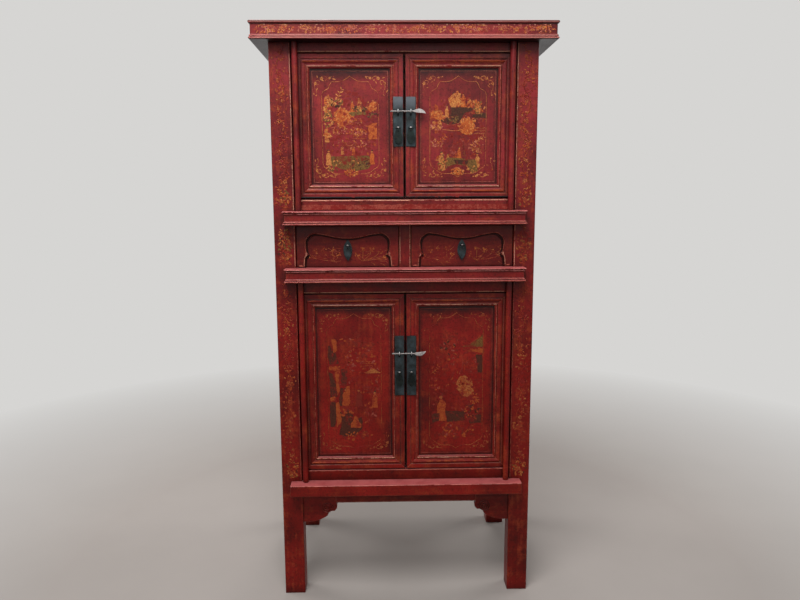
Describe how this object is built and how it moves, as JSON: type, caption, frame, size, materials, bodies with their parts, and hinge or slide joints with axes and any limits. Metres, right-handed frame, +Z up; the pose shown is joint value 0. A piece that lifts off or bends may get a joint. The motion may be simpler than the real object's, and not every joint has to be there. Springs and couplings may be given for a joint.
{
  "type": "four-post lacquered cabinet",
  "caption": "Tall four-post lacquered cabinet with paired pivot doors above and below a row of drawers, moulded belts, overhanging top and iron lock plates with pins.",
  "frame": {"origin": "on the floor, under the middle of the top", "axes": "+Z up, +X to the right seen from the front, front faces -Y"},
  "size_m": [0.898, 0.588, 1.8],
  "materials": {
    "red_lacquer": "worn crimson lacquer with gilt lines",
    "painted_panel": "crimson lacquer with gilt painting",
    "inside_wood": "bare aged softwood",
    "black_iron": "blackened wrought iron",
    "pin_steel": "hand-polished steel"
  },
  "bodies": {
    "carcass": {"front_left_post": "red_lacquer", "front_right_post": "red_lacquer", "rear_left_post": "red_lacquer", "rear_right_post": "red_lacquer", "top_frame_rails": "red_lacquer", "top_frame_ends": "red_lacquer", "top_board": "red_lacquer", "upper_head_rail": "red_lacquer", "upper_sill_rail": "red_lacquer", "lower_head_rail": "red_lacquer", "lower_sill_rail": "red_lacquer", "upper_belt": "red_lacquer", "lower_belt": "red_lacquer", "bottom_belt": "red_lacquer", "front_apron": "red_lacquer", "front_spandrels": "red_lacquer", "side_rails": "red_lacquer", "side_panels": "red_lacquer", "side_aprons": "red_lacquer", "back_rails": "inside_wood", "back_panels": "inside_wood", "upper_floor": "inside_wood", "drawer_floor": "inside_wood", "lower_floor": "inside_wood", "upper_shelf": "inside_wood", "lower_shelf": "inside_wood", "board_bearers": "inside_wood", "drawer_muntin": "red_lacquer", "drawer_guides": "inside_wood"},
    "upper_left_door": {"upper_left_door_stiles": "red_lacquer", "upper_left_door_rails": "red_lacquer", "upper_left_door_panel": "painted_panel", "upper_left_lock_plate": "black_iron"},
    "upper_left_door_pendant": {"upper_left_door_pendant": "black_iron"},
    "upper_right_door": {"upper_right_door_stiles": "red_lacquer", "upper_right_door_rails": "red_lacquer", "upper_right_door_panel": "painted_panel", "upper_right_lock_plate": "black_iron"},
    "upper_right_door_pendant": {"upper_right_door_pendant": "black_iron"},
    "upper_lock_pin": {"upper_lock_pin": "pin_steel"},
    "lower_left_door": {"lower_left_door_stiles": "red_lacquer", "lower_left_door_rails": "red_lacquer", "lower_left_door_panel": "painted_panel", "lower_left_lock_plate": "black_iron"},
    "lower_left_door_pendant": {"lower_left_door_pendant": "black_iron"},
    "lower_right_door": {"lower_right_door_stiles": "red_lacquer", "lower_right_door_rails": "red_lacquer", "lower_right_door_panel": "painted_panel", "lower_right_lock_plate": "black_iron"},
    "lower_right_door_pendant": {"lower_right_door_pendant": "black_iron"},
    "lower_lock_pin": {"lower_lock_pin": "pin_steel"},
    "left_drawer": {"left_drawer_front": "red_lacquer", "left_drawer_box": "inside_wood", "left_drawer_pull_plate": "black_iron"},
    "left_drawer_pull": {"left_drawer_pull": "black_iron"},
    "right_drawer": {"right_drawer_front": "red_lacquer", "right_drawer_box": "inside_wood", "right_drawer_pull_plate": "black_iron"},
    "right_drawer_pull": {"right_drawer_pull": "black_iron"}
  },
  "joints": [
    {"name": "upper_left_door_hinge", "type": "hinge", "parent": "carcass", "child": "upper_left_door", "pos_m": [-0.3225, -0.257, 1.505], "axis": [0, 0, -1], "range_deg": [0, 160]},
    {"name": "upper_left_door_pendant_swing", "type": "hinge", "parent": "upper_left_door", "child": "upper_left_door_pendant", "pos_m": [-0.01905, -0.2538, 1.5025], "axis": [-1, 0, 0], "range_deg": [0, 90]},
    {"name": "upper_right_door_hinge", "type": "hinge", "parent": "carcass", "child": "upper_right_door", "pos_m": [0.3225, -0.257, 1.505], "axis": [0, 0, 1], "range_deg": [0, 160]},
    {"name": "upper_right_door_pendant_swing", "type": "hinge", "parent": "upper_right_door", "child": "upper_right_door_pendant", "pos_m": [0.01905, -0.2538, 1.5025], "axis": [-1, 0, 0], "range_deg": [0, 90]},
    {"name": "upper_lock_pin_slide", "type": "slide", "parent": "upper_right_door", "child": "upper_lock_pin", "axis": [1, 0, 0], "range_m": [0, 0.0435]},
    {"name": "lower_left_door_hinge", "type": "hinge", "parent": "carcass", "child": "lower_left_door", "pos_m": [-0.3225, -0.257, 0.713], "axis": [0, 0, -1], "range_deg": [0, 160]},
    {"name": "lower_left_door_pendant_swing", "type": "hinge", "parent": "lower_left_door", "child": "lower_left_door_pendant", "pos_m": [-0.01905, -0.2538, 0.75], "axis": [-1, 0, 0], "range_deg": [0, 90]},
    {"name": "lower_right_door_hinge", "type": "hinge", "parent": "carcass", "child": "lower_right_door", "pos_m": [0.3225, -0.257, 0.713], "axis": [0, 0, 1], "range_deg": [0, 160]},
    {"name": "lower_right_door_pendant_swing", "type": "hinge", "parent": "lower_right_door", "child": "lower_right_door_pendant", "pos_m": [0.01905, -0.2538, 0.75], "axis": [-1, 0, 0], "range_deg": [0, 90]},
    {"name": "lower_lock_pin_slide", "type": "slide", "parent": "lower_right_door", "child": "lower_lock_pin", "axis": [1, 0, 0], "range_m": [0, 0.0435]},
    {"name": "left_drawer_slide", "type": "slide", "parent": "carcass", "child": "left_drawer", "axis": [0, -1, 0], "range_m": [0, 0.33]},
    {"name": "left_drawer_pull_swing", "type": "hinge", "parent": "left_drawer", "child": "left_drawer_pull", "pos_m": [-0.17625, -0.2475, 1.1504], "axis": [-1, 0, 0], "range_deg": [0, 90]},
    {"name": "right_drawer_slide", "type": "slide", "parent": "carcass", "child": "right_drawer", "axis": [0, -1, 0], "range_m": [0, 0.33]},
    {"name": "right_drawer_pull_swing", "type": "hinge", "parent": "right_drawer", "child": "right_drawer_pull", "pos_m": [0.17625, -0.2475, 1.1504], "axis": [-1, 0, 0], "range_deg": [0, 90]}
  ]
}
